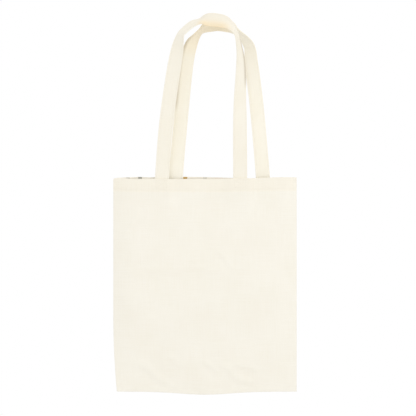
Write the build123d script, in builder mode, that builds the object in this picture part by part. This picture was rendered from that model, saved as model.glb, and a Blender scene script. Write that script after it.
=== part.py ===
from build123d import *
import os
from math import asin, cos, degrees, pi, radians, sin

# Canvas tote bag, hung by its two handles and slightly open at the mouth.
# Millimetres, +Z up, X along the rim, the plain back panel towards -Y and the printed front panel
# towards +Y. The origin is where the handles hang: the underside of the lower handle, above the middle
# of the bag.

# Canvas and thread
ply = 0.6
thread_width = 0.5
thread_proud = 0.15

# Bag body
bag_width = 360.0
bag_height = 420.0
mouth_gap = 16.0          # clear gap between the two hems, where the straps are sewn
belly_swell = 5.0         # how much further out a panel bows at its belly than at its hem
flat_half = 130.0         # half of the straight stretch of each rim, which carries the strap ends
front_rim_rise = 4.0      # the front rim stands this much above the back rim
corner_draw_in = 7.0      # the lower left corner is drawn in by this much
draw_in_height = 150.0    # over this height
wall_sections = 8         # levels that shape a panel

# Hem: the top edge of a panel, turned in twice
hem_depth = 25.0
hem_plies = 3
hem_setback = 7.0         # the turned-in plies stop this far short of the side seams
hem_row_lift = 2.5        # the hem's row of stitching above the hem's lower edge

# Seams: the edges of both panels, turned to the inside
seam_allowance = 9.0
seam_plies = 2
seam_pinch = 0.05         # how far the sewn panels bite into the turned-in edges
edge_pinch = 0.1          # further bite at the side edges, where the panels are drawn together
edge_inset = 0.5          # the turned-in edges start this far inside the bag's outline
overlock_width = 3.0
overlock_proud = 0.2
corner_gap = 0.5          # between the turned-in side and bottom edges
side_overlock_start = 25.0
seam_top_gap = 1.0        # the turned-in side edges stop this far under the rim

# Handles: a folded strip of canvas each, its ends sewn inside the hem
strap_width = 27.0
strap_thickness = 2.0
handle_drop = 291.0       # from the back rim up to the underside of the lower handle
crown_step = 6.0          # the back handle's crown stands this much above the front handle's
crown_apart = 30.0        # between the middles of the two crowns
back_left_leg = -85.5
back_right_leg = 69.0
front_left_leg = -55.5
front_right_leg = 113.5
strap_tab = 1.0           # the sewn strap end stands this far above the rim
root_gap = 0.4            # between a sewn strap end and the swinging part of its strap
strap_end_lift = 4.0      # the sewn strap end stops this far above the hem's lower edge
edge_row_inset = 3.0      # rows of stitching from the strap's edges
cross_inset = 3.0         # boxed cross stitching from the edges of the sewn strap end
strap_sections = 49       # planes that shape a handle strap
strap_stretches = 12      # stretches of its long walls between those planes

# Levels and depths that follow
back_rim = -handle_drop
front_rim = back_rim + front_rim_rise
bottom = back_rim - bag_height
hem_thickness = hem_plies * ply
hem_face = mouth_gap / 2 + hem_thickness
seam_half = seam_plies * ply / 2
bottom_face = seam_half + ply - seam_pinch
edge_face = bottom_face - edge_pinch
strap_plane = (mouth_gap - strap_thickness) / 2
front_crown = handle_drop + strap_width / 2
back_crown = front_crown + crown_step


def left_edge(level):
    share = max(0.0, 1.0 - (level - bottom) / draw_in_height)
    return -bag_width / 2 + corner_draw_in * share**2


def right_edge(level):
    return bag_width / 2


def wall_face(level, hem_line):
    """Depth of a panel's outer face at a level, from the pinched bottom seam up to the hem."""
    share = (level - bottom) / (hem_line - bottom)
    rise = 1.0 - (1.0 - share) ** 3
    return bottom_face + (hem_face - bottom_face) * rise + belly_swell * sin(pi * share) ** 2


def wall_section(level, face, first, last, reach):
    """Slice of a panel at a level, between two depths in from its outer face: straight in the middle
    and bowed in to the side seams. The slice stops at a reach from the bag's middle."""
    drop = face - edge_face
    right_span = right_edge(level) - flat_half
    left_span = -left_edge(level) - flat_half
    right_radius = (right_span**2 + drop**2) / (2 * drop)
    left_radius = (left_span**2 + drop**2) / (2 * drop)
    right_turn = degrees(asin(right_span / right_radius))
    left_turn = degrees(asin(left_span / left_radius))
    with BuildSketch(Plane.XY.offset(level)) as section:
        with BuildLine():
            outer = Line((-flat_half, first - face), (flat_half, first - face))
            inner = Line((-flat_half, last - face), (flat_half, last - face))
            right_centre = (flat_half, right_radius - face)
            left_centre = (-flat_half, left_radius - face)
            right_outer = CenterArc(right_centre, right_radius - first, -90, right_turn)
            right_inner = CenterArc(right_centre, right_radius - last, -90, right_turn)
            left_outer = CenterArc(left_centre, left_radius - first, -90, -left_turn)
            left_inner = CenterArc(left_centre, left_radius - last, -90, -left_turn)
            Line(right_outer @ 1, right_inner @ 1)
            Line(left_outer @ 1, left_inner @ 1)
        make_face()
        if reach < bag_width / 2:
            Rectangle(2 * reach, 4 * face, mode=Mode.INTERSECT)
    return section.sketch


def canvas_panel(rim):
    """A panel in the back panel's place: one ply of canvas, with its top edge turned in as a hem."""
    hem_line = rim - hem_depth
    levels = [bottom + (hem_line - bottom) * i / (wall_sections - 1) for i in range(wall_sections)]
    full_reach = bag_width / 2
    walls = [wall_section(z, wall_face(z, hem_line), 0, ply, full_reach) for z in levels]
    sheet_slice = wall_section(hem_line, hem_face, 0, ply, full_reach)
    hem_slice = wall_section(hem_line, hem_face, 0, hem_thickness, full_reach - hem_setback)
    with BuildPart() as panel:
        loft(walls)
        extrude(sheet_slice, amount=hem_depth)
        extrude(hem_slice, amount=hem_depth)
    return panel


def hem_row(rim):
    """Row of stitching through all plies of a hem, in the back hem's place."""
    level = rim - hem_depth + hem_row_lift
    reach = bag_width / 2 - hem_setback
    row_slice = wall_section(level, hem_face, -thread_proud, hem_thickness + thread_proud, reach)
    with BuildPart() as row:
        extrude(row_slice, amount=thread_width)
    return row


# Panels
back_panel = canvas_panel(back_rim)
front_form = canvas_panel(front_rim)
with BuildPart() as front_panel:
    mirror(front_form.part, about=Plane.XZ)

# Hem stitching
back_hem_stitching = hem_row(back_rim)
front_row = hem_row(front_rim)
with BuildPart() as front_hem_stitching:
    mirror(front_row.part, about=Plane.XZ)


def edge_band(edge, inward, first, last, low, high):
    """Upright strip inside a side edge, between two distances in from the bag's outline."""
    levels = [low + (high - low) * i / (wall_sections - 1) for i in range(wall_sections)]
    with BuildSketch(Plane.XZ) as band:
        with BuildLine():
            outer = Spline([(edge(z) + inward * first, z) for z in levels])
            inner = Spline([(edge(z) + inward * last, z) for z in levels])
            Line(outer @ 0, inner @ 0)
            Line(outer @ 1, inner @ 1)
        make_face()
    return band.sketch


def side_seam(edge, inward):
    """Two turned-in canvas edges, up one side of the bag."""
    strip = edge_band(edge, inward, edge_inset, seam_allowance, bottom + edge_inset, back_rim - seam_top_gap)
    with BuildPart() as seam:
        extrude(strip, amount=seam_half, both=True)
    return seam


def side_overlock(edge, inward):
    """Overlock thread wrapped round the raw edges of a side seam, from the bottom corner to the hem."""
    low = bottom + side_overlock_start
    high = back_rim - hem_depth
    first = seam_allowance - overlock_width
    wrap = edge_band(edge, inward, first, seam_allowance + overlock_proud, low, high)
    strip = edge_band(edge, inward, edge_inset, seam_allowance, bottom + edge_inset, back_rim - seam_top_gap)
    with BuildPart() as overlock:
        extrude(wrap, amount=seam_half + overlock_proud, both=True)
        extrude(strip, amount=seam_half, both=True, mode=Mode.SUBTRACT)
    return overlock


# Side seams
left_side_seam = side_seam(left_edge, 1)
right_side_seam = side_seam(right_edge, -1)
left_seam_thread = side_overlock(left_edge, 1)
right_seam_thread = side_overlock(right_edge, -1)

# Bottom seam, between the two side seams
seam_left = left_edge(bottom) + seam_allowance + corner_gap
seam_right = right_edge(bottom) - seam_allowance - corner_gap
seam_length = seam_right - seam_left
seam_middle = (seam_left + seam_right) / 2
seam_top = bottom + seam_allowance
seam_low = bottom + edge_inset
with BuildPart() as bottom_seam:
    with BuildSketch(Plane.XZ):
        with Locations((seam_middle, (seam_low + seam_top) / 2)):
            Rectangle(seam_length, seam_top - seam_low)
    extrude(amount=seam_half, both=True)

with BuildPart() as bottom_seam_thread:
    with BuildSketch(Plane.XZ):
        with Locations((seam_middle, seam_top - overlock_width)):
            Rectangle(seam_length, overlock_width + overlock_proud, align=(Align.CENTER, Align.MIN))
    extrude(amount=seam_half + overlock_proud, both=True)
    with BuildSketch(Plane.XZ):
        with Locations((seam_middle, seam_low)):
            Rectangle(seam_length, seam_top - seam_low, align=(Align.CENTER, Align.MIN))
    extrude(amount=seam_half, both=True, mode=Mode.SUBTRACT)

# The two handles, from the left leg over the crown to the right leg. Each station is a share of the way from
# leg to leg, a share of the crown's height above the back rim, and the twist of the strap in degrees. The
# legs lie flat, and the strap turns edge on where it rounds its shoulders.
back_handle = {
    "side": -1,
    "rim": back_rim,
    "left_leg": back_left_leg,
    "right_leg": back_right_leg,
    "crown": back_crown,
    "line": [
        (0.050, 0.329, 0),
        (0.133, 0.632, 4),
        (0.192, 0.808, 26),
        (0.225, 0.905, 62),
        (0.278, 0.933, 66),
        (0.386, 0.968, 66),
        (0.539, 0.999, 60),
        (0.680, 1.000, 14),
        (0.788, 0.992, 20),
        (0.880, 0.959, 50),
        (0.954, 0.907, 74),
        (0.985, 0.833, 73),
        (1.005, 0.758, 59),
        (1.007, 0.645, 46),
        (0.998, 0.505, 30),
        (0.997, 0.303, 8),
    ],
}
front_handle = {
    "side": 1,
    "rim": front_rim,
    "left_leg": front_left_leg,
    "right_leg": front_right_leg,
    "crown": front_crown,
    "line": [
        (0.059, 0.445, 0),
        (0.118, 0.757, 10),
        (0.165, 0.862, 25),
        (0.205, 0.913, 49),
        (0.266, 0.955, 75),
        (0.331, 0.978, 62),
        (0.402, 0.991, 38),
        (0.484, 1.000, 20),
        (0.614, 0.988, 45),
        (0.690, 0.962, 74),
        (0.800, 0.906, 64),
        (0.850, 0.850, 40),
        (0.873, 0.757, 22),
        (0.896, 0.653, 10),
        (0.936, 0.445, 0),
    ],
}


def smooth_share(share):
    return share * share * (3 - 2 * share)


def strap_planes(handle):
    """Planes across a handle strap, evenly along it, each turned by the strap's twist there."""
    side = handle["side"]
    root = handle["rim"] - back_rim + strap_tab + root_gap
    left, right, crown = handle["left_leg"], handle["right_leg"], handle["crown"]
    arch = [(left + (right - left) * way, crown * rise, twist) for way, rise, twist in handle["line"]]
    stations = [(left, root, 0)] + arch + [(right, root, 0)]
    lean = (crown_apart / 2 - strap_plane) / (crown - root)
    points = [(x, side * (strap_plane + lean * (h - root)), back_rim + h) for x, h, twist in stations]
    with BuildLine() as route:
        Spline(points, tangents=[(0, side * lean, 1), (0, -side * lean, -1)])
    line = route.edges()[0]
    marks = [line.param_at_point(point) for point in points]
    planes = []
    for i in range(strap_sections):
        mark = i / (strap_sections - 1)
        after = next(k for k in range(1, len(marks)) if mark <= marks[k] or k == len(marks) - 1)
        share = (mark - marks[after - 1]) / (marks[after] - marks[after - 1])
        before_twist = stations[after - 1][2]
        twist = before_twist + (stations[after][2] - before_twist) * smooth_share(share)
        along = line % mark
        across = Vector(0, 1, 0).cross(along).normalized()
        depth = along.cross(across)
        turn = radians(side * twist)
        planes.append(Plane(line @ mark, x_dir=across * cos(turn) + depth * sin(turn), z_dir=along))
    return planes, line.length


def strap_bar(planes, offset_across, width, height):
    """Flat bar along a handle strap, at an offset across it: ruled walls between its four long edges."""
    marks = [i / (len(planes) - 1) for i in range(len(planes))]
    edges = []
    for side, face in ((-1, -1), (1, -1), (1, 1), (-1, 1)):
        corner = (offset_across + side * width / 2, face * height / 2, 0)
        edges.append(Edge.make_spline([plane.from_local_coords(corner) for plane in planes], parameters=marks))
    faces = []
    for i in range(strap_stretches):
        stretch = [edge.trim(i / strap_stretches, (i + 1) / strap_stretches) for edge in edges]
        faces += [Face.make_surface_from_curves(stretch[k - 1], stretch[k]) for k in range(len(stretch))]
    for plane in (planes[0], planes[-1]):
        with BuildSketch(plane) as end:
            with Locations((offset_across, 0)):
                Rectangle(width, height)
        faces.append(end.sketch.face())
    return Solid(Shell(faces))


def handle_strap(planes):
    """The swinging part of a handle strap."""
    with BuildPart() as strap:
        add(strap_bar(planes, 0, strap_width, strap_thickness))
    return strap


def handle_stitching(planes):
    """Two rows of stitching through a handle strap, one along each edge."""
    row_offset = strap_width / 2 - edge_row_inset
    with BuildPart() as stitching:
        for offset_across in (-row_offset, row_offset):
            add(strap_bar(planes, offset_across, thread_width, strap_thickness + 2 * thread_proud))
    return stitching


back_planes, back_length = strap_planes(back_handle)
front_planes, front_length = strap_planes(front_handle)
back_handle_strap = handle_strap(back_planes)
front_handle_strap = handle_strap(front_planes)
back_handle_stitching = handle_stitching(back_planes)
front_handle_stitching = handle_stitching(front_planes)


def strap_end(handle, leg):
    """Sewn end of a handle strap, flat against the inside of its hem."""
    low = handle["rim"] - hem_depth + strap_end_lift
    high = handle["rim"] + strap_tab
    with BuildPart() as end:
        with BuildSketch(Plane.XZ.offset(-handle["side"] * strap_plane)):
            with Locations((leg, (low + high) / 2)):
                Rectangle(strap_width, high - low)
        extrude(amount=strap_thickness / 2, both=True)
    return end


def cross_stitch(handle, leg):
    """Boxed cross of stitching through a hem and the strap end behind it."""
    box_width = strap_width - 2 * cross_inset
    box_low = handle["rim"] - hem_depth + strap_end_lift + cross_inset
    box_height = handle["rim"] - cross_inset - box_low
    slant = degrees(asin(box_height / (box_width**2 + box_height**2) ** 0.5))
    diagonal = (box_width**2 + box_height**2) ** 0.5 - 2 * thread_width
    through = hem_thickness + strap_thickness + 2 * thread_proud
    middle = handle["side"] * (hem_face + thread_proud - through / 2)
    with BuildPart() as stitch:
        with BuildSketch(Plane.XZ.offset(-middle)):
            with Locations((leg, box_low + box_height / 2)):
                Rectangle(box_width, box_height)
                Rectangle(box_width - 2 * thread_width, box_height - 2 * thread_width, mode=Mode.SUBTRACT)
                Rectangle(diagonal, thread_width, rotation=slant)
                Rectangle(diagonal, thread_width, rotation=-slant)
        extrude(amount=through / 2, both=True)
    return stitch


# Sewn strap ends and their stitching
back_left_strap_end = strap_end(back_handle, back_left_leg)
back_right_strap_end = strap_end(back_handle, back_right_leg)
front_left_strap_end = strap_end(front_handle, front_left_leg)
front_right_strap_end = strap_end(front_handle, front_right_leg)
back_left_cross_stitch = cross_stitch(back_handle, back_left_leg)
back_right_cross_stitch = cross_stitch(back_handle, back_right_leg)
front_left_cross_stitch = cross_stitch(front_handle, front_left_leg)
front_right_cross_stitch = cross_stitch(front_handle, front_right_leg)

pieces = {
    "back_panel": back_panel,
    "front_panel": front_panel,
    "left_side_seam": left_side_seam,
    "right_side_seam": right_side_seam,
    "bottom_seam": bottom_seam,
    "left_seam_thread": left_seam_thread,
    "right_seam_thread": right_seam_thread,
    "bottom_seam_thread": bottom_seam_thread,
    "back_hem_stitching": back_hem_stitching,
    "front_hem_stitching": front_hem_stitching,
    "back_left_strap_end": back_left_strap_end,
    "back_right_strap_end": back_right_strap_end,
    "front_left_strap_end": front_left_strap_end,
    "front_right_strap_end": front_right_strap_end,
    "back_left_cross_stitch": back_left_cross_stitch,
    "back_right_cross_stitch": back_right_cross_stitch,
    "front_left_cross_stitch": front_left_cross_stitch,
    "front_right_cross_stitch": front_right_cross_stitch,
    "back_handle_strap": back_handle_strap,
    "back_handle_stitching": back_handle_stitching,
    "front_handle_strap": front_handle_strap,
    "front_handle_stitching": front_handle_stitching,
}

os.makedirs("parts", exist_ok=True)
for name, piece in pieces.items():
    piece.part.label = name
    export_step(piece.part, f"parts/{name}.step")
print(f"back handle strap {back_length:.0f} mm, front handle strap {front_length:.0f} mm above the rims")
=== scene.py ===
import bpy
import bmesh
import math
from mathutils import Matrix, Vector, noise


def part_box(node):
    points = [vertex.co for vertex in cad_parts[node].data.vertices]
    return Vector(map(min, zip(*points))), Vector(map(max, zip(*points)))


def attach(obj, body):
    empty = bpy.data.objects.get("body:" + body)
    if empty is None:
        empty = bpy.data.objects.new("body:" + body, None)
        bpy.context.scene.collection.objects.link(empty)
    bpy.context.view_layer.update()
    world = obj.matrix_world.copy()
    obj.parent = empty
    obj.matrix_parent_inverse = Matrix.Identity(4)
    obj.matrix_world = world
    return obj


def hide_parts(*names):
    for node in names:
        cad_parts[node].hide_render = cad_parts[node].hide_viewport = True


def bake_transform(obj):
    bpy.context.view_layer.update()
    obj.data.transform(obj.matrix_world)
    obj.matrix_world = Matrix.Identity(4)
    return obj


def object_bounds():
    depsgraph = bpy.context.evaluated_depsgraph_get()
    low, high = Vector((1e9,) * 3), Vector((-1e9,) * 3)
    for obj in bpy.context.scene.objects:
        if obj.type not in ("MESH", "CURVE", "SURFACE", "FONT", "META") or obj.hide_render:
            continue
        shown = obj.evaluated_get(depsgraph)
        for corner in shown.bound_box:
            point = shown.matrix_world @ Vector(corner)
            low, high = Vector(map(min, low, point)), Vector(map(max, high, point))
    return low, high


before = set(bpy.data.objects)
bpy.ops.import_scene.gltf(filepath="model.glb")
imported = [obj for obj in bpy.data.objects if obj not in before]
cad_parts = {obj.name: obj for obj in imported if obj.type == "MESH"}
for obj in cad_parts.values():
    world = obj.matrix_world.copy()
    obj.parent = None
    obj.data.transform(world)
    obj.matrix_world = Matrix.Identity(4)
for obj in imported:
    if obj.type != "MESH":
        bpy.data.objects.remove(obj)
cadLow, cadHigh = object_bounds()
print("frame loaded,", len(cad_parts), "nodes")

mm = 0.001
scene = bpy.context.scene
scene.view_settings.view_transform = "Standard"


# camera square on to the plain side, as the bag was shot
shot = {
    "distance": 3.0,
    "x": 5.9 * mm,
    "level": -349.3 * mm,
    "fieldWidth": 814 * mm,    # what the picture spans at the near panel
    "nearPanel": -10 * mm,
}
cameraData = bpy.data.cameras.new("shotCamera")
cameraData.lens = cameraData.sensor_width * shot["distance"] / shot["fieldWidth"]
camera = bpy.data.objects.new("shotCamera", cameraData)
camera.location = (shot["x"], shot["nearPanel"] - shot["distance"], shot["level"])
camera.rotation_euler = (math.pi / 2, 0, 0)
scene.collection.objects.link(camera)
scene.camera = camera
print("camera set")


# small helpers for shader trees
def addNode(tree, kind, **settings):
    node = tree.nodes.new(kind)
    for key, value in settings.items():
        setattr(node, key, value)
    return node


def feed(tree, socket, value):
    if isinstance(value, bpy.types.NodeSocket):
        tree.links.new(value, socket)
    else:
        socket.default_value = value


def mathNode(tree, operation, first, second=0.0, third=0.0):
    node = addNode(tree, "ShaderNodeMath", operation=operation)
    for socket, value in zip(node.inputs, (first, second, third)):
        feed(tree, socket, value)
    return node.outputs[0]


def scaledPlace(tree, place, scale):
    node = addNode(tree, "ShaderNodeVectorMath", operation="MULTIPLY")
    tree.links.new(place, node.inputs[0])
    node.inputs[1].default_value = scale
    return node.outputs[0]


def noiseNode(tree, place, scale, detail=2.0):
    node = addNode(tree, "ShaderNodeTexNoise")
    node.inputs["Scale"].default_value = scale
    node.inputs["Detail"].default_value = detail
    tree.links.new(place, node.inputs["Vector"])
    return node.outputs["Fac"]


def mixColor(tree, factor, first, second, blend="MIX"):
    node = addNode(tree, "ShaderNodeMix", data_type="RGBA", blend_type=blend)
    feed(tree, node.inputs["Factor"], factor)
    feed(tree, node.inputs[6], first)
    feed(tree, node.inputs[7], second)
    return node.outputs[2]


def rampNode(tree, factor, low, high):
    node = addNode(tree, "ShaderNodeMapRange", interpolation_type="SMOOTHSTEP")
    feed(tree, node.inputs["Value"], factor)
    node.inputs["From Min"].default_value = low
    node.inputs["From Max"].default_value = high
    return node.outputs["Result"]


def bumpNode(tree, shader, height, strength, distance):
    node = addNode(tree, "ShaderNodeBump")
    node.inputs["Strength"].default_value = strength
    node.inputs["Distance"].default_value = distance
    tree.links.new(height, node.inputs["Height"])
    tree.links.new(node.outputs[0], shader.inputs["Normal"])


# floor, backdrop and light
studio = {
    "floorDrop": 80 * mm,          # the bag hangs this far above the floor
    "floorHalf": 30.0,
    "shadowFrom": 0.15,            # from here out to there the floor turns plain white
    "shadowTo": 0.42,
    "floorColor": (0.90, 0.90, 0.90, 1),
    "skyLevel": 0.943,
    "skyLean": (0, -0.06, 0.0),    # brighter in front
    "keyPower": 11.0,
    "keySize": 1.6,
    "keyPlace": (1.5, -2.6, 1.1),
    "keyAim": (0, 0, -0.35),
}


def seenRay(tree):
    path = addNode(tree, "ShaderNodeLightPath")
    seen = mathNode(tree, "MAXIMUM", path.outputs["Is Camera Ray"], path.outputs["Is Glossy Ray"])
    return mathNode(tree, "MAXIMUM", seen, path.outputs["Is Transmission Ray"])


world = bpy.data.worlds.new("studioSky")
world.use_nodes = True
scene.world = world
sky = world.node_tree
sky.nodes.clear()
skyPlace = addNode(sky, "ShaderNodeTexCoord")
skyLean = addNode(sky, "ShaderNodeVectorMath", operation="DOT_PRODUCT")
sky.links.new(skyPlace.outputs["Generated"], skyLean.inputs[0])
skyLean.inputs[1].default_value = studio["skyLean"]
skyStrength = mathNode(sky, "ADD", skyLean.outputs["Value"], studio["skyLevel"])
lit = addNode(sky, "ShaderNodeBackground")
lit.inputs["Color"].default_value = (1, 1, 1, 1)
sky.links.new(skyStrength, lit.inputs["Strength"])
plain = addNode(sky, "ShaderNodeBackground")
plain.inputs["Color"].default_value = (1, 1, 1, 1)
skyMix = addNode(sky, "ShaderNodeMixShader")
sky.links.new(seenRay(sky), skyMix.inputs[0])
sky.links.new(lit.outputs[0], skyMix.inputs[1])
sky.links.new(plain.outputs[0], skyMix.inputs[2])
skyOut = addNode(sky, "ShaderNodeOutputWorld")
sky.links.new(skyMix.outputs[0], skyOut.inputs["Surface"])

keyData = bpy.data.lights.new("keyPanel", "AREA")
keyData.energy = studio["keyPower"]
keyData.size = studio["keySize"]
keyLight = bpy.data.objects.new("keyPanel", keyData)
keyLight.location = studio["keyPlace"]
keyTurn = (Vector(studio["keyAim"]) - Vector(studio["keyPlace"])).to_track_quat("-Z", "Y")
keyLight.rotation_euler = keyTurn.to_euler()
scene.collection.objects.link(keyLight)


def floorMaterial():
    material = bpy.data.materials.new("paleFloor")
    material.use_nodes = True
    tree = material.node_tree
    tree.nodes.clear()
    place = addNode(tree, "ShaderNodeTexCoord")
    reach = addNode(tree, "ShaderNodeVectorMath", operation="LENGTH")
    flat = scaledPlace(tree, place.outputs["Object"], (1, 2, 0))
    tree.links.new(flat, reach.inputs[0])
    away = rampNode(tree, reach.outputs["Value"], studio["shadowFrom"], studio["shadowTo"])
    shade = addNode(tree, "ShaderNodeBsdfDiffuse")
    shade.inputs["Color"].default_value = studio["floorColor"]
    white = addNode(tree, "ShaderNodeEmission")
    white.inputs["Color"].default_value = (1, 1, 1, 1)
    near = addNode(tree, "ShaderNodeMixShader")
    tree.links.new(mathNode(tree, "MULTIPLY", seenRay(tree), away), near.inputs[0])
    tree.links.new(shade.outputs[0], near.inputs[1])
    tree.links.new(white.outputs[0], near.inputs[2])
    out = addNode(tree, "ShaderNodeOutputMaterial")
    tree.links.new(near.outputs[0], out.inputs["Surface"])
    return material


def addObject(name, bm, materials):
    mesh = bpy.data.meshes.new(name)
    bm.to_mesh(mesh)
    bm.free()
    for material in materials:
        mesh.materials.append(material)
    for face in mesh.polygons:
        face.use_smooth = True
    piece = bpy.data.objects.new(name, mesh)
    scene.collection.objects.link(piece)
    return piece


def bakeModifiers(piece):
    bpy.context.view_layer.update()
    depsgraph = bpy.context.evaluated_depsgraph_get()
    final = bpy.data.meshes.new_from_object(
        piece.evaluated_get(depsgraph), preserve_all_data_layers=True, depsgraph=depsgraph)
    piece.modifiers.clear()
    piece.data = final


floorBm = bmesh.new()
floorLevel = cadLow.z - studio["floorDrop"]
bmesh.ops.create_grid(floorBm, x_segments=1, y_segments=1, size=studio["floorHalf"],
                      matrix=Matrix.Translation((0, 0, floorLevel)))
floor = addObject("floor", floorBm, [floorMaterial()])
print("studio set")


# finishes
canvasLook = {
    "pale": (0.945, 0.912, 0.822, 1),
    "deep": (0.915, 0.876, 0.772, 1),
    "yarn": 0.9 * mm,
    "yarnWaver": (0.12, 0.7),  # how often and how far the yarns stray, in yarns
    "blotches": 14,            # deeper patches per metre
    "slubs": 22,               # thick places per metre of yarn
    "slubShare": 0.55,         # how much of the deeper colour they carry
    "weaveRelief": 0.16 * mm,
    "weaveBump": 0.35,
    "roughness": 0.92,
    "specular": 0.12,
    "sheen": 0.06,
    "sheenRoughness": 0.6,
}
strapLook = dict(canvasLook, pale=(0.947, 0.905, 0.800, 1), deep=(0.917, 0.866, 0.742, 1))
# the far strap's cloth is a paler copy of the strap cloth: painted light that makes up for the shade the near
# strap throws on it
farStrapLightenedLook = dict(canvasLook, pale=(0.968, 0.926, 0.812, 1), deep=(0.938, 0.888, 0.755, 1))
printLook = {
    "cell": 24 * mm,           # spacing of the scattered chips
    "kept": 0.40,              # share of the cells that carry one
    "edge": 0.23,              # chips stop this far, in cells, from the next cell
    "soften": 0.02,
    "rag": (6, 0.10),          # how often and how far their edges stray, in cells
    "wear": 0.30,              # share of the ink that is rubbed off in places
    "wearScale": 900,
    "rimClear": 20 * mm,       # scattered chips have their middles at least this far below the rim
    "rimDepth": 8.4 * mm,      # half height of the chips that run over the rim
    "rimRag": 0.6,
    "rimEdge": (1.35, 1.2),    # where they end and where they are full, in half widths
    # place and half width in mm, ink, and how dense it is
    "rimChips": [
        (-152, 4, 4, 0.3),
        (-128, 4, 1, 0.6),
        (-71, 4, 0, 0.7),
        (-39, 4.5, 2, 0.9),
        (0, 4, 4, 0.3),
        (28, 9, 3, 0.15),
    ],
    # where each ink starts in the draw from 0 to 1, and its colour
    "inks": [
        (0.00, (0.070, 0.080, 0.055, 1)),
        (0.22, (0.150, 0.160, 0.130, 1)),
        (0.42, (0.560, 0.330, 0.070, 1)),
        (0.62, (0.660, 0.400, 0.340, 1)),
        (0.82, (0.360, 0.370, 0.330, 1)),
    ],
}
# tints multiplied into the cloth from mesh attributes: handling wear with painted shade, and painted shade
# alone
wearAndShadeLook = {
    "warmTintAndShade": (1.0, 0.89, 0.72, 1),      # warm tint where hands hold the straps, also painted shade under the near strap's crown and on the far strap's crown and left shoulder
    "paintedShade": (0.72, 0.69, 0.64, 1),     # painted shade: shadow lines along leg edges where the straps meet, and grey on the near strap's crown top
}
threadLook = {
    "pale": (0.920, 0.880, 0.780, 1),
    "deep": (0.850, 0.800, 0.680, 1),
    "flecks": 700,
    "fibres": 2500,
    "fibreRelief": 0.1 * mm,
    "fibreBump": 0.4,
    "roughness": 0.75,
    "specular": 0.2,
}


def weaveHeight(tree, place, look):
    yarn = look["yarn"]
    often, far = look["yarnWaver"]
    waver = addNode(tree, "ShaderNodeTexNoise")
    waver.inputs["Scale"].default_value = often / yarn
    tree.links.new(place, waver.inputs["Vector"])
    drift = addNode(tree, "ShaderNodeVectorMath", operation="MULTIPLY_ADD")
    tree.links.new(waver.outputs["Color"], drift.inputs[0])
    drift.inputs[1].default_value = (far * yarn, far * yarn, 0)
    tree.links.new(place, drift.inputs[2])
    turns = scaledPlace(tree, drift.outputs[0], (math.pi / yarn, math.pi / yarn, 0))
    split = addNode(tree, "ShaderNodeSeparateXYZ")
    tree.links.new(turns, split.inputs[0])
    warp = mathNode(tree, "SINE", split.outputs["X"])
    weft = mathNode(tree, "SINE", split.outputs["Y"])
    over = mathNode(tree, "MULTIPLY", warp, weft)       # which of the two yarns is on top
    warpLift = mathNode(tree, "MULTIPLY_ADD", over, 0.4, 0.6)
    weftLift = mathNode(tree, "MULTIPLY_ADD", over, -0.4, 0.6)
    warpTop = mathNode(tree, "MULTIPLY", mathNode(tree, "ABSOLUTE", warp), warpLift)
    weftTop = mathNode(tree, "MULTIPLY", mathNode(tree, "ABSOLUTE", weft), weftLift)
    return mathNode(tree, "MAXIMUM", warpTop, weftTop)


def chipPrint(tree, place, cloth):
    cells = addNode(tree, "ShaderNodeTexVoronoi", voronoi_dimensions="2D", feature="DISTANCE_TO_EDGE")
    names = addNode(tree, "ShaderNodeTexVoronoi", voronoi_dimensions="2D", feature="F1")
    for node in (cells, names):
        tree.links.new(place, node.inputs["Vector"])
        node.inputs["Scale"].default_value = 1 / printLook["cell"]
    draw = addNode(tree, "ShaderNodeSeparateColor")
    tree.links.new(names.outputs["Color"], draw.inputs[0])
    often, far = printLook["rag"]
    rag = noiseNode(tree, place, often / printLook["cell"], 3)
    ragged = mathNode(tree, "MULTIPLY_ADD", rag, far, cells.outputs["Distance"])
    chip = rampNode(tree, ragged, printLook["edge"], printLook["edge"] + printLook["soften"])
    kept = mathNode(tree, "LESS_THAN", draw.outputs["Green"], printLook["kept"])
    fade = rampNode(tree, noiseNode(tree, place, printLook["wearScale"], 1), 0.1, 0.62)
    inkLeft = mathNode(tree, "MULTIPLY_ADD", fade, printLook["wear"], 1 - printLook["wear"])
    split = addNode(tree, "ShaderNodeSeparateXYZ")
    tree.links.new(names.outputs["Position"], split.inputs[0])
    fromRim = mathNode(tree, "ABSOLUTE", split.outputs["Y"])
    below = mathNode(tree, "GREATER_THAN", fromRim, printLook["rimClear"])
    kept = mathNode(tree, "MULTIPLY", kept, below)
    mask = mathNode(tree, "MULTIPLY", mathNode(tree, "MULTIPLY", chip, kept), inkLeft)
    palette = addNode(tree, "ShaderNodeValToRGB")
    palette.color_ramp.interpolation = "CONSTANT"
    inks = printLook["inks"]
    stops = palette.color_ramp.elements
    while len(stops) < len(inks):
        stops.new(0.5)
    for stop, (position, color) in zip(stops, inks):
        stop.position = position
        stop.color = color
    tree.links.new(draw.outputs["Red"], palette.inputs["Fac"])
    color = mixColor(tree, mask, cloth, palette.outputs["Color"])
    for x, half, ink, density in printLook["rimChips"]:
        offset = addNode(tree, "ShaderNodeVectorMath", operation="SUBTRACT")
        tree.links.new(place, offset.inputs[0])
        offset.inputs[1].default_value = (shell["halfWidth"] - x * mm, 0, 0)
        spread = scaledPlace(tree, offset.outputs[0], (1 / (half * mm), 1 / printLook["rimDepth"], 0))
        reach = addNode(tree, "ShaderNodeVectorMath", operation="LENGTH")
        tree.links.new(spread, reach.inputs[0])
        ragged = mathNode(tree, "MULTIPLY_ADD", rag, printLook["rimRag"], reach.outputs["Value"])
        inside = rampNode(tree, ragged, *printLook["rimEdge"])
        color = mixColor(tree, mathNode(tree, "MULTIPLY", inside, density), color, inks[ink][1])
    return color


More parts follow.
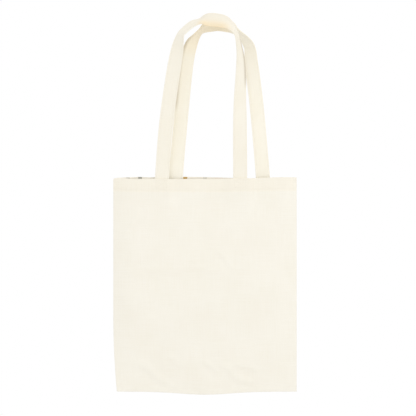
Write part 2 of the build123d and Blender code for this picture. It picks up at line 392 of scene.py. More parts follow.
def clothMaterial(name, look, printed=False):
    material = bpy.data.materials.new(name)
    material.use_nodes = True
    tree = material.node_tree
    shader = tree.nodes["Principled BSDF"]
    place = addNode(tree, "ShaderNodeUVMap", uv_map="cloth").outputs["UV"]
    blotch = rampNode(tree, noiseNode(tree, place, look["blotches"], 4), 0.3, 0.7)
    warpSlub = noiseNode(tree, scaledPlace(tree, place, (1 / look["yarn"], look["slubs"], 1)), 1, 1)
    weftSlub = noiseNode(tree, scaledPlace(tree, place, (look["slubs"], 1 / look["yarn"], 1)), 1, 1)
    slub = rampNode(tree, mathNode(tree, "MULTIPLY", warpSlub, weftSlub), 0.16, 0.36)
    slubDepth = mathNode(tree, "MULTIPLY", slub, look["slubShare"])
    depth = mathNode(tree, "MULTIPLY_ADD", blotch, 1 - look["slubShare"], slubDepth)
    color = mixColor(tree, depth, look["pale"], look["deep"])
    # multiply in the warm tint (handling wear and painted shade) and the painted shade along the strap edges
    for wear, tint in wearAndShadeLook.items():
        amount = addNode(tree, "ShaderNodeAttribute", attribute_name=wear).outputs["Fac"]
        color = mixColor(tree, amount, color, tint, "MULTIPLY")
    if printed:
        color = chipPrint(tree, place, color)
    tree.links.new(color, shader.inputs["Base Color"])
    bumpNode(tree, shader, weaveHeight(tree, place, look), look["weaveBump"], look["weaveRelief"])
    shader.inputs["Roughness"].default_value = look["roughness"]
    shader.inputs["Specular IOR Level"].default_value = look["specular"]
    shader.inputs["Sheen Weight"].default_value = look["sheen"]
    shader.inputs["Sheen Roughness"].default_value = look["sheenRoughness"]
    return material


def threadMaterial(name, look):
    material = bpy.data.materials.new(name)
    material.use_nodes = True
    tree = material.node_tree
    shader = tree.nodes["Principled BSDF"]
    place = addNode(tree, "ShaderNodeTexCoord").outputs["Object"]
    fleck = rampNode(tree, noiseNode(tree, place, look["flecks"]), 0.3, 0.7)
    tree.links.new(mixColor(tree, fleck, look["pale"], look["deep"]), shader.inputs["Base Color"])
    bumpNode(tree, shader, noiseNode(tree, place, look["fibres"], 1), look["fibreBump"], look["fibreRelief"])
    shader.inputs["Roughness"].default_value = look["roughness"]
    shader.inputs["Specular IOR Level"].default_value = look["specular"]
    return material


# the bag's shell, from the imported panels
shell = {
    "bottom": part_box("back_panel")[0].z,
    "halfWidth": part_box("back_panel")[1].x,
    "flatHalf": 130 * mm,
    "ply": 0.6 * mm,
    "edgeRoll": 0.45 * mm,     # radius of the side and bottom edges, at mid ply
    "cutHeight": 466 * mm,     # 420 high, with 9 for the seam, 25 for the hem and 12 folded under it
    "hemDepth": 25 * mm,
    "hemRow": 2.5 * mm,        # the row of stitching above the hem's lower edge
    "hemFace": 9.8 * mm,       # depth of the outer face at the hem, the bottom and the side edges
    "bottomFace": 1.15 * mm,
    "edgeFace": 1.05 * mm,
    "bellySwell": 5 * mm,
    "drawIn": 7 * mm,          # the lower left corner is drawn in
    "drawHeight": 150 * mm,
    "bottomLift": 1.2 * mm,    # the bottom edge is drawn up, and hangs lower in the middle
    "bottomSag": 6.0 * mm,
    "sagReach": 70 * mm,
    "sagHeight": 240 * mm,
    "hemSetback": 4 * mm,      # the turned-in plies stop this far from the side edges
    "hemTint": 0.12,
    "lineDepth": (60 * mm, 5 * mm),    # the rim's own line starts and is full this far below it
    "leanDepth": 110 * mm,             # and its lean starts here
    "columns": 176,
    "wallRows": 160,
    "hemRows": 18,
    "tuckRows": 10,
    "rollSteps": 5,
}
# rimLine and rimLean: rise of the rim and its lean into the mouth, by place across, in mm
backSide = {
    "side": -1,
    "rim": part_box("back_panel")[1].z,
    "legs": ("back_left_strap_end", "back_right_strap_end"),
    "legBoxes": [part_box("back_left_strap_end"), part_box("back_right_strap_end")],
    "rimLine": [
        (-180, -1.5), (-178, 0), (-174, 0.6), (-166, 0.2), (-140, -1.3), (-125, -1.2), (-112, -0.7),
        (-98, -0.8), (-75, -1.3), (10, -1.3), (35, -0.7), (75, 0), (160, 2.3), (180, 2.1),
    ],
    "rimLean": [
        (-100, 0), (-73, 0), (-55, 5), (30, 5), (54, 0), (84, 0), (104, 5), (130, 4), (160, 0),
    ],
    "seed": 3.7,
    "waviness": 0.6 * mm,
    # folds and creases: ends across and down from the rim, half width and height, all in mm
    "creases": [
        (-166, -179, 115, -179, 6, 0.5),
        (25, -142, 59, -179, 5, 0.9),
        (-132, -62, -160, -116, 6, 0.8),
        (-131, -359, -66, -406, 7, 1.4),
        (-70, -347, -45, -367, 5, 0.6),
        (-4, -355, 24, -377, 5, 0.9),
        (16, -341, 33, -320, 5, 0.5),
        (55, -363, 106, -377, 6, 1.2),
        (29, -365, 94, -406, 7, 1.5),
    ],
}
frontSide = {
    "side": 1,
    "rim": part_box("front_panel")[1].z,
    "legs": ("front_left_strap_end", "front_right_strap_end"),
    "legBoxes": [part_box("front_left_strap_end"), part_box("front_right_strap_end")],
    "rimLine": [
        (-180, -6), (-176, -4.8), (-170, -2.5), (-150, -1.7), (-128, -1.0), (-112, -1.8), (-90, -1.6),
        (-45, -1.0), (-8, -1.1), (12, -1.7), (30, -2.2), (75, -3.8), (150, -3.5), (172, -2.2), (180, -2.0),
    ],
    "rimLean": [
        (-140, 0), (-115, 1), (-90, 1), (-68, 5.5), (-42, 5.5), (-10, 3), (60, 2), (101, 5), (126, 5),
        (165, 0),
    ],
    "seed": 11.2,
    "waviness": 0.8 * mm,
    "creases": [
        (-150, -181, 160, -176, 6, 1.0),
        (4, -40, -6, -380, 7, 0.9),
        (-140, -60, -70, -130, 6, 1.0),
        (70, -240, 150, -300, 6, 1.2),
        (-120, -330, -60, -398, 7, 1.5),
        (40, -350, 110, -404, 7, 1.5),
        (-20, -372, 15, -340, 5, 0.9),
    ],
}
relief = {
    "longSway": (95 * mm, 130 * mm),   # length of the slow waves, across and down
    "shortSway": (38 * mm, 52 * mm),
    "shortShare": 0.4,
    "sideCalm": 26 * mm,               # waves and creases die out towards the seams and the hem
    "bottomCalm": 22 * mm,
    "hemCalm": (60 * mm, 20 * mm),
    # puckers along the seams: height, length, where they start and how far they reach
    "hemPucker": (0.22 * mm, 7 * mm, 0, 9 * mm),
    "sidePucker": (0.35 * mm, 11 * mm, 6 * mm, 16 * mm),
    "bottomPucker": (0.7 * mm, 13 * mm, 9 * mm, 26 * mm),
    "rowDip": (0.28 * mm, 1.7 * mm),   # depth and half width where stitching draws the hem in
    "legPress": (0.25 * mm, 2 * mm),   # height and edge where a sewn strap end presses it out
    "creaseTail": 0.15,                # a crease runs out past its ends by this share of its length
    "creaseFull": 0.2,                 # and is full from this share of it
    "creaseWander": (30 * mm, 0.8),    # length, and share of its width that it strays
    "creaseHollow": (0.45, 2.1, 1.5),  # depth, place and half width of the hollow beside it
}


def ease(value, low, high):
    share = min(1.0, max(0.0, (value - low) / (high - low)))
    return share * share * (3 - 2 * share)


def valueAt(points, x):
    for (x0, value0), (x1, value1) in zip(points, points[1:]):
        if x <= x1 * mm:
            return (value0 + (value1 - value0) * ease(x, x0 * mm, x1 * mm)) * mm
    return points[-1][1] * mm


def rimShift(x, z, panel):
    start, full = shell["lineDepth"]
    return valueAt(panel["rimLine"], x) * ease(z, panel["rim"] - start, panel["rim"] - full)


def rimLean(x, z, panel):
    return valueAt(panel["rimLean"], x) * ease(z, panel["rim"] - shell["leanDepth"], panel["rim"])


def bottomShift(x):
    return shell["bottomLift"] - shell["bottomSag"] * math.exp(-(x / shell["sagReach"]) ** 2)


def leftEdge(z):
    share = max(0.0, 1 - (z - shell["bottom"]) / shell["drawHeight"])
    return -shell["halfWidth"] + shell["drawIn"] * share ** 2


def wallFace(z, rim):
    hemLine = rim - shell["hemDepth"]
    share = min(1.0, max(0.0, (z - shell["bottom"]) / (hemLine - shell["bottom"])))
    rise = 1 - (1 - share) ** 3
    swell = shell["bellySwell"] * math.sin(math.pi * share) ** 2
    return shell["bottomFace"] + (shell["hemFace"] - shell["bottomFace"]) * rise + swell


def outerDepth(x, z, rim):
    face = wallFace(z, rim)
    past = abs(x) - shell["flatHalf"]
    if past <= 0:
        return face
    edge = -leftEdge(z) if x < 0 else shell["halfWidth"]
    span = edge - shell["flatHalf"]
    drop = face - shell["edgeFace"]
    radius = (span ** 2 + drop ** 2) / (2 * drop)
    past = min(past, span)
    return face - (radius - math.sqrt(radius ** 2 - past ** 2))


def creaseLift(x, z, creases, seed):
    tail, full = relief["creaseTail"], relief["creaseFull"]
    stray, strayShare = relief["creaseWander"]
    depth, place, spread = relief["creaseHollow"]
    lift = 0.0
    for x0, z0, x1, z1, width, height in creases:
        run = Vector((x1 - x0, z1 - z0)) * mm
        offset = Vector((x - x0 * mm, z - z0 * mm))
        along = offset.dot(run) / run.length_squared
        if not -tail < along < 1 + tail:
            continue
        half = width * mm
        wander = noise.noise(Vector((along * run.length / stray, seed, x0))) * strayShare * half
        away = (offset.x * run.y - offset.y * run.x) / run.length + wander
        fade = ease(along, -tail, full) * (1 - ease(along, 1 - full, 1 + tail))
        ridge = math.exp(-(away / half) ** 2)
        hollow = depth * math.exp(-((away - place * half) / (spread * half)) ** 2)
        lift += height * mm * fade * (ridge - hollow)
    return lift


def puckerLift(kind, along, gap, seed, draw):
    height, length, start, reach = relief[kind]
    ripple = height * noise.noise(Vector((along / length, seed, draw)))
    if start:
        ripple *= ease(gap, 0, start)
    return ripple * math.exp(-(gap / reach) ** 2)


def panelLift(x, z, panel):
    seed = panel["seed"]
    down = z - panel["rim"]
    rowGap = down + shell["hemDepth"] - shell["hemRow"]
    sideGap = min(x - leftEdge(z), shell["halfWidth"] - x)
    bottomGap = z - shell["bottom"]
    (longX, longZ), (shortX, shortZ) = relief["longSway"], relief["shortSway"]
    sway = noise.noise(Vector((x / longX, z / longZ, seed)))
    sway += relief["shortShare"] * noise.noise(Vector((x / shortX, z / shortZ, seed + 5)))
    hemFrom, hemTo = relief["hemCalm"]
    calm = ease(sideGap, 0, relief["sideCalm"]) * ease(bottomGap, 0, relief["bottomCalm"])
    calm *= 1 - ease(down, -hemFrom, -hemTo)
    lift = calm * (panel["waviness"] * sway + creaseLift(x, down, panel["creases"], seed))
    lift += puckerLift("hemPucker", x, rowGap, seed, 0.3)
    lift += puckerLift("sidePucker", z, sideGap, seed, 4.1 if x < 0 else 8.3)
    lift += puckerLift("bottomPucker", x, bottomGap, seed, 6.6)
    dip, dipHalf = relief["rowDip"]
    lift -= dip * math.exp(-(rowGap / dipHalf) ** 2)
    press, edge = relief["legPress"]
    for low, high in panel["legBoxes"]:
        inside = ease(x, low.x - edge, low.x + edge) * (1 - ease(x, high.x - edge, high.x + edge))
        lift += press * inside * ease(z, low.z - edge, low.z + edge)
    return lift


def panelRows(panel):
    ply, roll, rim = shell["ply"], shell["edgeRoll"], panel["rim"]
    bottom, hemLine = shell["bottom"], rim - shell["hemDepth"]
    middle = ply / 2
    rows = []                               # level, depth in from the outer face, how far turned in
    for step in (2, 1):
        turn = step * math.pi / 4
        rows.append((bottom + middle + roll * (1 - math.sin(turn)), middle + roll * (1 - math.cos(turn)), 0))
    wallLow = bottom + middle + roll
    for i in range(shell["wallRows"]):
        rows.append((wallLow + (hemLine - wallLow) * i / shell["wallRows"], middle, 0))
    fold = ply                              # radius of the fold at the rim
    rimLow = rim - middle - fold
    for i in range(shell["hemRows"] + 1):
        rows.append((hemLine + (rimLow - hemLine) * i / shell["hemRows"], middle, 0))
    for i in range(1, shell["rollSteps"]):
        share = i / shell["rollSteps"]
        turn = math.pi * share
        rows.append((rimLow + fold * math.sin(turn), middle + fold * (1 - math.cos(turn)), share))
    for i in range(shell["tuckRows"] + 1):
        rows.append((rimLow - (rimLow - hemLine) * i / shell["tuckRows"], middle + 2 * fold, 1))
    rows.append((hemLine - 0.35 * ply, middle + 1.6 * fold, 1))     # the raw edge goes under
    rows.append((hemLine - 0.1 * ply, middle + 1.2 * fold, 1))
    return rows


def panelPoint(panel, share, row):
    level, depth, turned = row
    ply, roll = shell["ply"], shell["edgeRoll"]
    left, right = leftEdge(level) + ply / 2 + roll, shell["halfWidth"] - ply / 2 - roll
    x = left + (right - left) * min(1.0, max(0.0, share))
    y = outerDepth(x, level, panel["rim"]) - rimLean(x, level, panel)
    y += panelLift(x, level, panel) * (1 - turned) - depth
    past = max(-share, share - 1.0)
    if past > 0:                            # the rolled side edge
        turn = past * math.pi / 2
        x += math.copysign(roll * math.sin(turn), share)
        y += (ply / 2 - y) * (1 - math.cos(turn))
    y = max(y, ply / 2)
    x *= 1 - turned * shell["hemSetback"] / shell["halfWidth"]
    low = 1 - ease(level, shell["bottom"], shell["bottom"] + shell["sagHeight"])
    return Vector((x, panel["side"] * y, level + low * bottomShift(x) + rimShift(x, level, panel)))


def gridSpot(point, columns, rows):
    return round((point.x + 0.5) * columns), round((point.y + 0.5) * rows)


def makePanel(name, panel, materials):
    rows = panelRows(panel)
    columns = shell["columns"]
    shares = [-1.0, -0.5] + [i / (columns - 4) for i in range(columns - 3)] + [1.5, 2.0]
    lengths = [0.0]
    for before, this in zip(rows, rows[1:]):
        lengths.append(lengths[-1] + math.hypot(this[0] - before[0], this[1] - before[1]))
    rimLength = lengths[max(range(len(rows)), key=lambda i: rows[i][0])]
    bm = bmesh.new()
    cloth = bm.loops.layers.uv.new("cloth")
    warmTintAndShade = bm.verts.layers.float.new("warmTintAndShade")
    last = len(rows) - 1
    bmesh.ops.create_grid(bm, x_segments=columns, y_segments=last, size=0.5)
    for face in bm.faces:
        for loop in face.loops:
            column, row = gridSpot(loop.vert.co, columns, last)
            loop[cloth].uv = (column / columns * 2 * shell["halfWidth"], lengths[row] - rimLength)
    hemLine = panel["rim"] - shell["hemDepth"]
    for vert in bm.verts:
        column, row = gridSpot(vert.co, columns, last)
        share = shares[column]
        vert.co = panelPoint(panel, share if panel["side"] < 0 else 1 - share, rows[row])
        # the double-ply hem is a little warmer in tone; it takes the same warm tint, with no painted shade
        # here
        vert[warmTintAndShade] = shell["hemTint"] * (rows[row][0] > hemLine - 0.1 * mm)
    piece = addObject(name, bm, materials)
    thick = piece.modifiers.new("ply", "SOLIDIFY")
    thick.thickness = shell["ply"]
    thick.offset = 0
    thick.material_offset = len(materials) - 1
    return piece


plainCanvas = clothMaterial("plainCanvas", canvasLook)
printedCanvas = clothMaterial("printedCanvas", canvasLook, printed=True)
strapCanvas = clothMaterial("strapCanvas", strapLook)
# painted light: the paler copy of the strap cloth for the far strap
farStrapCanvasLightened = clothMaterial("farStrapCanvasLightened", farStrapLightenedLook)
sewingThread = threadMaterial("sewingThread", threadLook)
print("finishes ready")

backPanel = makePanel("backPanel", backSide, [plainCanvas])
frontPanel = makePanel("frontPanel", frontSide, [printedCanvas, plainCanvas])
panelSlots = ((backPanel, "back_panel", "canvas"), (frontPanel, "front_panel", "printed_canvas"))
for piece, node, clothSlot in panelSlots:
    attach(piece, "bag")
    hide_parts(node)
print("panels made")


# handles: one folded strip each, sewn inside the hem at both ends
strap = {
    "width": 27.5 * mm,
    "thickness": 2.0 * mm,
    "plane": 7 * mm,           # depth of the sewn ends
    "crownPlane": 15 * mm,
    "root": 1.4 * mm,          # the swinging part starts this far above the rim
    "footLean": 150 * mm,      # the feet lean in with the rim, up to this far above it
    "steps": 300,
    "edgeRow": 3 * mm,         # rows of stitching this far from the edges
    "rowReach": 0.9 * mm,      # draw the strap in over this width
    "rowDip": 0.78,            # to this share of its thickness
    "edgeRound": 0.8 * mm,
    "swell": (0.25 * mm, 24 * mm, 14 * mm),    # height of its unevenness, length along and across
    "gripRise": (0.76, 0.92),  # where the handled stretch starts and is full, in shares of the crown's height
    "shadeFade": 0.05,          # how softly the painted shade on the leg edges ends, in the same shares
}
# line: share of the way from leg to leg, share of the crown's height above the back rim, twist in degrees
backHandle = {
    "side": -1,
    "body": "back_handle",
    "panel": backSide,
    "crown": 309.4 * mm,
    "leftShift": 1.4 * mm,             # the left legs have been pulled together
    "gripReach": (-25, 0, 38, 62),     # where the handled stretch starts, is full, and ends, in mm across
    "tintAndShadeShares": (0.05, 1.0),         # how much warm tint its upper and lower edges take: handling wear, and painted shade along the lower edge
    "crownShade": 0.15,                 # painted shade, greyed along the top there
    "cup": 2.5 * mm,                   # how far the strap bows across its width there
    "shadedLegEdge": (1, 0.60, 0.88, 7),   # painted shadow along one leg's outer edge: side, lower and upper share of the height, width in mm
    "line": [
        (0.050, 0.329, 0),
        (0.133, 0.632, 4),
        (0.194, 0.808, 26),
        (0.236, 0.903, 56),
        (0.288, 0.934, 57),
        (0.390, 0.974, 57),
        (0.495, 0.992, 60),
        (0.560, 0.998, 30),
        (0.620, 1.000, 12),
        (0.690, 0.998, 12),
        (0.788, 0.988, 20),
        (0.880, 0.959, 50),
        (0.954, 0.907, 70),
        (0.985, 0.833, 66),
        (1.005, 0.758, 56),
        (1.007, 0.645, 42),
        (0.998, 0.505, 30),
        (0.997, 0.303, 8),
    ],
}
frontHandle = {
    "side": 1,
    "body": "front_handle",
    "panel": frontSide,
    "crown": 304.5 * mm,
    "leftShift": -1.4 * mm,
    "gripReach": (-70, -44, 44, 64),
    "tintAndShadeShares": (0.4, 0.45),
    "crownShade": 0.0,
    "cup": 1.0 * mm,
    "shadedLegEdge": (-1, 0.46, 0.90, 5.5),
    "line": [
        (0.066, 0.445, 0),
        (0.125, 0.757, 10),
        (0.171, 0.862, 30),
        (0.228, 0.914, 60),
        (0.282, 0.953, 72),
        (0.336, 0.976, 54),
        (0.402, 0.991, 34),
        (0.484, 1.000, 20),
        (0.614, 0.985, 36),
        (0.690, 0.955, 66),
        (0.745, 0.926, 64),
        (0.800, 0.896, 56),
        (0.850, 0.848, 40),
        (0.868, 0.757, 22),
        (0.892, 0.653, 10),
        (0.936, 0.445, 0),
    ],
}


def legMiddle(box):
    low, high = box
    return (low.x + high.x) / 2


def smoothThrough(points, steps):
    marks = [0.0]
    for last, this in zip(points, points[1:]):
        marks.append(marks[-1] + (this.xyz - last.xyz).length)
    slopes = []
    for i in range(len(points)):
        before, after = max(i - 1, 0), min(i + 1, len(points) - 1)
        slopes.append((points[after] - points[before]) / (marks[after] - marks[before]))
    line = []
    span = 0
    for step in range(steps + 1):
        mark = marks[-1] * step / steps
        while span < len(points) - 2 and mark > marks[span + 1]:
            span += 1
        gap = marks[span + 1] - marks[span]
        t = (mark - marks[span]) / gap
        spot = points[span] * (2 * t ** 3 - 3 * t ** 2 + 1) + slopes[span] * gap * (t ** 3 - 2 * t ** 2 + t)
        spot += points[span + 1] * (3 * t ** 2 - 2 * t ** 3)
        spot += slopes[span + 1] * gap * (t ** 3 - t ** 2)
        line.append(spot)
    return line


def strapLine(handle):
    side, panel, crown = handle["side"], handle["panel"], handle["crown"]
    base = backSide["rim"]
    left, right = (legMiddle(box) for box in panel["legBoxes"])
    left += handle["leftShift"]
    sewnLow = panel["legBoxes"][0][0].z - base
    root = panel["rim"] - base + strap["root"]
    lean = (strap["crownPlane"] - strap["plane"]) / (crown - root)
    arch = [(left + (right - left) * way, crown * rise, twist) for way, rise, twist in handle["line"]]
    ends = [(left, sewnLow, 0), (left, root, 0)], [(right, root, 0), (right, sewnLow, 0)]
    points = []
    for x, height, twist in ends[0] + arch + ends[1]:
        y = strap["plane"] + lean * max(0.0, height - root)
        fade = 1 - ease(height, root, root + strap["footLean"])
        y -= rimLean(x, base + min(height, root), panel) * fade
        points.append(Vector((x, side * y, base + height, twist)))
    return smoothThrough(points, strap["steps"])


def strapFrames(handle):
    line = strapLine(handle)
    frames = []                             # middle, across, towards the face, along, length so far
    length = 0.0
    for i, point in enumerate(line):
        before, after = line[max(i - 1, 0)], line[min(i + 1, len(line) - 1)]
        along = (after.xyz - before.xyz).normalized()
        across = Vector((0, 1, 0)).cross(along).normalized()
        depth = along.cross(across)
        turn = math.radians(handle["side"] * point.w)
        wide = across * math.cos(turn) + depth * math.sin(turn)
        if i:
            length += (point.xyz - line[i - 1].xyz).length
        frames.append((point.xyz, wide, along.cross(wide), along, length))
    return frames


def gripReach(handle, middle):
    start, full, hold, end = (value * mm for value in handle["gripReach"])
    low, top = (share * handle["crown"] for share in strap["gripRise"])
    high = ease(middle.z - backSide["rim"], low, top)
    return high * ease(middle.x, start, full) * (1 - ease(middle.x, hold, end))


# share of the warm tint: handling wear, with painted shade on the shaded edge of the crown
def warmTintAndShadeAmount(handle, middle, offset):
    half = strap["width"] / 2
    outer, inner = handle["tintAndShadeShares"]
    return gripReach(handle, middle) * (outer + (inner - outer) * ease(offset, -0.3 * half, half))


def cupDepth(handle, middle, offset):
    return handle["cup"] * gripReach(handle, middle) * (1 - (2 * offset / strap["width"]) ** 2)


# painted shadow along a leg's outer edge, where the other strap lies close by
def legEdgeShadeAmount(handle, middle, offset):
    side, low, high, width = handle["shadedLegEdge"]
    rise = (middle.z - backSide["rim"]) / handle["crown"]
    leftLeg, rightLeg = (legMiddle(box) for box in handle["panel"]["legBoxes"])
    if side * (middle.x - (leftLeg + rightLeg) / 2) < 0:
        return 0
    edge, fade = strap["width"] / 2, strap["shadeFade"]
    amount = ease(rise, low - fade, low + fade) * (1 - ease(rise, high - fade, high + fade))
    return amount * ease(-offset, edge - width * mm, edge - 0.4 * width * mm)


# painted shade along the top of the crown
def crownShade(handle, middle, offset):
    upper = ease(-offset, -0.4 * strap["width"], 0.3 * strap["width"])
    return handle["crownShade"] * gripReach(handle, middle) * upper


def makeStrap(name, handle, material):
    frames = strapFrames(handle)
    half = strap["width"] / 2
    row, reach = half - strap["edgeRow"], strap["rowReach"]
    across = [-half, -half + reach, -row - reach, -row, -row + reach, -half / 2, 0]
    across += [-value for value in reversed(across[:-1])]
    columns, rows = len(across) - 1, len(frames) - 1
    height, swellAlong, swellAcross = strap["swell"]
    bm = bmesh.new()
    cloth = bm.loops.layers.uv.new("cloth")
    dips = bm.verts.layers.deform.new()
    warmTintAndShade = bm.verts.layers.float.new("warmTintAndShade")
    paintedShade = bm.verts.layers.float.new("paintedShade")
    bmesh.ops.create_grid(bm, x_segments=columns, y_segments=rows, size=0.5)
    for face in bm.faces:
        for loop in face.loops:
            column, station = gridSpot(loop.vert.co, columns, rows)
            loop[cloth].uv = (across[column], frames[station][4])
    for vert in bm.verts:
        column, station = gridSpot(vert.co, columns, rows)
        middle, wide, face, along, length = frames[station]
        offset = across[column]
        wave = noise.noise(Vector((length / swellAlong, offset / swellAcross, handle["crown"])))
        vert.co = middle + wide * offset + face * (height * wave - cupDepth(handle, middle, offset))
        vert[dips][0] = strap["rowDip"] if abs(abs(offset) - row) < 0.1 * mm else 1.0
        # warm tint of handling wear and painted shade, then painted shade alone
        vert[warmTintAndShade] = warmTintAndShadeAmount(handle, middle, offset)
        vert[paintedShade] = max(legEdgeShadeAmount(handle, middle, offset), crownShade(handle, middle, offset))
    piece = addObject(name, bm, [material])
    piece.vertex_groups.new(name="plies")
    thick = piece.modifiers.new("plies", "SOLIDIFY")
    thick.thickness = strap["thickness"]
    thick.offset = 0
    thick.vertex_group = "plies"
    rounding = piece.modifiers.new("foldedEdges", "BEVEL")
    rounding.width = strap["edgeRound"]
    rounding.segments = 3
    rounding.limit_method = "ANGLE"
    rounding.angle_limit = math.radians(60)
    bakeModifiers(piece)
    return piece, frames


def bendAtRim(piece, handle):
    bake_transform(piece)


backStrap, backFrames = makeStrap("backStrap", backHandle, strapCanvas)
frontStrap, frontFrames = makeStrap("frontStrap", frontHandle, farStrapCanvasLightened)
for piece, handle in ((backStrap, backHandle), (frontStrap, frontHandle)):
    bendAtRim(piece, handle)
    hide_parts(handle["body"] + "_strap", *handle["panel"]["legs"])
print("handle straps made")


# stitching
stitch = {
    "pitch": 3.2 * mm,
    "cover": 0.84,             # share of the pitch that shows as thread
    "radius": 0.3 * mm,
    "sunk": 0.05 * mm,         # how far the hem's row lies in the cloth
    "crossSunk": 0.02 * mm,
    "crossInset": 3 * mm,      # the boxed crosses stay this far inside the strap ends
    "proud": 0.02 * mm,        # how far the straps' rows stand out
    "sides": 6,
    "rings": 4,
    "batch": 24,               # short batches keep the operators quick
}


def makeThread(name, stitches):
    bm = bmesh.new()
    batch = bpy.data.meshes.new("stitchBatch")
    for first in range(0, len(stitches), stitch["batch"]):
        few = bmesh.new()
        for start, end, radius in stitches[first:first + stitch["batch"]]:
            turn = (end - start).to_track_quat("Z", "Y").to_matrix().to_4x4()
            size = Matrix.Diagonal((radius, radius, (end - start).length / 2, 1))
            bmesh.ops.create_uvsphere(
                few, u_segments=stitch["sides"], v_segments=stitch["rings"], radius=1,
                matrix=Matrix.Translation((start + end) / 2) @ turn @ size)
        few.to_mesh(batch)
        few.free()
        bm.from_mesh(batch)
    bpy.data.meshes.remove(batch)
    return addObject(name, bm, [sewingThread])


def sewLine(start, end, surface):
    run = end - start
    count = max(1, round(run.length / stitch["pitch"]))
    ends = (1 - stitch["cover"]) / 2
    made = []
    for i in range(count):
        first, last = start + run * ((i + ends) / count), start + run * ((i + 1 - ends) / count)
        made.append((surface(first), surface(last), stitch["radius"]))
    return made


def hemSurface(panel, sunk):
    def place(point):
        x, z = point
        y = outerDepth(x, z, panel["rim"]) - rimLean(x, z, panel) + panelLift(x, z, panel) - sunk
        return Vector((x, panel["side"] * y, z + rimShift(x, z, panel)))
    return place


def hemStitches(panel):
    level = panel["rim"] - shell["hemDepth"] + shell["hemRow"]
    reach = shell["halfWidth"] - shell["hemSetback"]
    start, end = Vector((-reach, level)), Vector((reach, level))
    outside = hemSurface(panel, stitch["sunk"])
    inside = hemSurface(panel, 3 * shell["ply"] - stitch["sunk"])
    return sewLine(start, end, outside) + sewLine(start, end, inside)


def crossStitches(panel, leg):
    low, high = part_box(leg)
    inset = stitch["crossInset"]
    left, right, bottom, top = low.x + inset, high.x - inset, low.z + inset, panel["rim"] - inset
    corners = [Vector((left, bottom)), Vector((right, bottom)), Vector((right, top)), Vector((left, top))]
    lines = [(corners[i], corners[(i + 1) % 4]) for i in range(4)]
    lines += [(corners[0], corners[2]), (corners[1], corners[3])]
    strapFace = shell["hemFace"] - 3 * shell["ply"] - strap["thickness"] + stitch["sunk"]

    def inside(point):
        return Vector((point.x, panel["side"] * (strapFace - rimLean(*point, panel)), point.y))

    outside = hemSurface(panel, stitch["crossSunk"])
    made = []
    for start, end in lines:
        made += sewLine(start, end, outside) + sewLine(start, end, inside)
    return made


def strapStitches(handle, frames):
    row = strap["width"] / 2 - strap["edgeRow"]
    lift = strap["thickness"] / 2 * strap["rowDip"] + stitch["proud"]
    marks = [length for *_, length in frames]
    count = round(marks[-1] / stitch["pitch"])
    halfStitch = stitch["cover"] * stitch["pitch"] / 2
    made = []
    station = 0
    for i in range(count):
        target = (i + 0.5) * marks[-1] / count
        while marks[station + 1] < target:
            station += 1
        share = (target - marks[station]) / (marks[station + 1] - marks[station])
        here, there = frames[station], frames[station + 1]
        middle, wide, face, along = (here[k].lerp(there[k], share) for k in range(4))
        for offset in (-row, row):
            for side in (-1, 1):
                spot = middle + wide * offset + face * (side * lift - cupDepth(handle, middle, offset))
                made.append((spot - along * halfStitch, spot + along * halfStitch, stitch["radius"]))
    return made


hemPieces = []
for panel, side in ((backSide, "back"), (frontSide, "front")):
    row = makeThread(side + "HemStitching", hemStitches(panel))
    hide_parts(side + "_hem_stitching")
    hemPieces.append(row)
    for leg in panel["legs"]:
        spot = "Left" if "left" in leg else "Right"
        cross = makeThread(side + spot + "CrossStitch", crossStitches(panel, leg))
        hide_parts(leg.replace("strap_end", "cross_stitch"))
        hemPieces.append(cross)
for piece in hemPieces:
    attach(piece, "bag")
print("hem stitching made")

for handle, frames, side in ((backHandle, backFrames, "back"), (frontHandle, frontFrames, "front")):
    rows = makeThread(side + "StrapStitching", strapStitches(handle, frames))
    bendAtRim(rows, handle)
    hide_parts(side + "_handle_stitching")
print("strap stitching made")


# seams: both panels' edges turned inside, with overlocked raw edges
seam = {
    "allowance": 9 * mm,
    "inset": 0.5 * mm,         # the strips start this far inside the bag's edges
    "footGap": 1.0 * mm,       # the side strips stop short of the bottom edge and of the rim
    "topGap": 1.0 * mm,
    "columns": 4,
    "sideRows": 120,
    "bottomRows": 110,
    "plyShare": 0.9,           # thickness, as a share of the panels'
    "curl": (0.2 * mm, 18 * mm),       # height and length of the raw edges' waves
    "rimReach": 60 * mm,       # over this depth the side strips come to follow the lower rim
    "loop": 2.6 * mm,
    "loopWidth": 3.0 * mm,
    "loopLift": 0.15 * mm,
    "wrap": 1.02,              # the thread goes round the raw edge just outside it
    "threadRadius": 0.22 * mm,
}


def makeSeam(name, rows, place):
    bm = bmesh.new()
    cloth = bm.loops.layers.uv.new("cloth")
    for ply in (-1, 1):
        made = bmesh.ops.create_grid(bm, x_segments=seam["columns"], y_segments=rows, size=0.5)
        for face in {face for vert in made["verts"] for face in vert.link_faces}:
            for loop in face.loops:
                across, up = loop.vert.co.xy
                loop[cloth].uv = (across * seam["allowance"], up * 2 * shell["halfWidth"])
        for vert in made["verts"]:
            vert.co = place(vert.co.x + 0.5, vert.co.y + 0.5, ply)
    bmesh.ops.recalc_face_normals(bm, faces=bm.faces)
    piece = addObject(name, bm, [plainCanvas])
    thick = piece.modifiers.new("ply", "SOLIDIFY")
    thick.thickness = seam["plyShare"] * shell["ply"]
    thick.offset = 0
    return piece


def seamDepth(along, across, ply, draw):
    height, length = seam["curl"]
    return ply * shell["ply"] / 2 + height * noise.noise(Vector((along / length, ply, draw))) * across


def seamInward(across):
    return seam["inset"] + (seam["allowance"] - seam["inset"]) * across


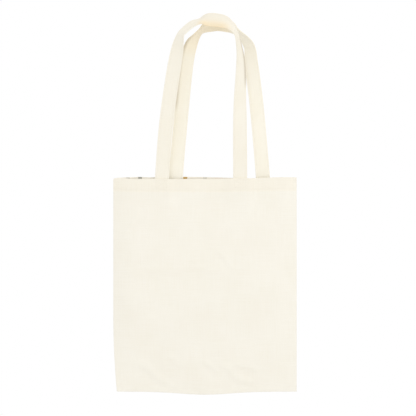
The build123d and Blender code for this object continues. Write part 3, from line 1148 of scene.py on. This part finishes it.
def sideSeamPlace(side):
    low = shell["bottom"] + seam["inset"] + seam["footGap"]
    high = backSide["rim"] - seam["topGap"]

    def place(across, up, ply):
        z = low + (high - low) * up
        edge = leftEdge(z) if side < 0 else shell["halfWidth"]
        x = edge - side * seamInward(across)
        taller = (frontSide["rim"] - backSide["rim"]) * ease(z, high - seam["rimReach"], high)
        shift = min(rimShift(x, z, backSide), rimShift(x, z, frontSide) + taller)
        return Vector((x, seamDepth(z, across, ply, side), z + shift))
    return place


def bottomSeamPlace(across, up, ply):
    left = leftEdge(shell["bottom"]) + seam["allowance"] + seam["inset"]
    right = shell["halfWidth"] - seam["allowance"] - seam["inset"]
    x = left + (right - left) * up
    z = shell["bottom"] + seamInward(across) + bottomShift(x)
    return Vector((x, seamDepth(x, across, ply, 3.3), z))


def overlockStitches(length, place):
    count = round(length / seam["loop"])
    inner = 1 - seam["loopWidth"] / seam["allowance"]
    radius = seam["threadRadius"]

    def threadPoint(across, up, ply):
        return place(across, up, ply) + Vector((0, ply * (shell["ply"] / 2 + seam["loopLift"]), 0))

    made = []
    for i in range(count):
        here, there = i / count, (i + 1) / count
        for ply in (-1, 1):
            tip = threadPoint(inner, (here + there) / 2, ply)
            made.append((threadPoint(1, here, ply), tip, radius))
            made.append((tip, threadPoint(1, there, ply), radius))
        made.append((threadPoint(seam["wrap"], here, -1), threadPoint(seam["wrap"], here, 1), radius))
    return made


sideLength = backSide["rim"] - shell["bottom"]
bottomLength = 2 * (shell["halfWidth"] - seam["allowance"])
seamPieces = []
for side, spot in ((-1, "left"), (1, "right")):
    place = sideSeamPlace(side)
    strip = makeSeam(spot + "SideSeam", seam["sideRows"], place)
    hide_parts(spot + "_side_seam")
    lock = makeThread(spot + "SeamThread", overlockStitches(sideLength, place))
    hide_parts(spot + "_seam_thread")
    seamPieces += [strip, lock]
strip = makeSeam("bottomSeam", seam["bottomRows"], bottomSeamPlace)
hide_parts("bottom_seam")
lock = makeThread("bottomSeamThread", overlockStitches(bottomLength, bottomSeamPlace))
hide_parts("bottom_seam_thread")
seamPieces += [strip, lock]
for piece in seamPieces:
    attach(piece, "bag")
print("seams made")
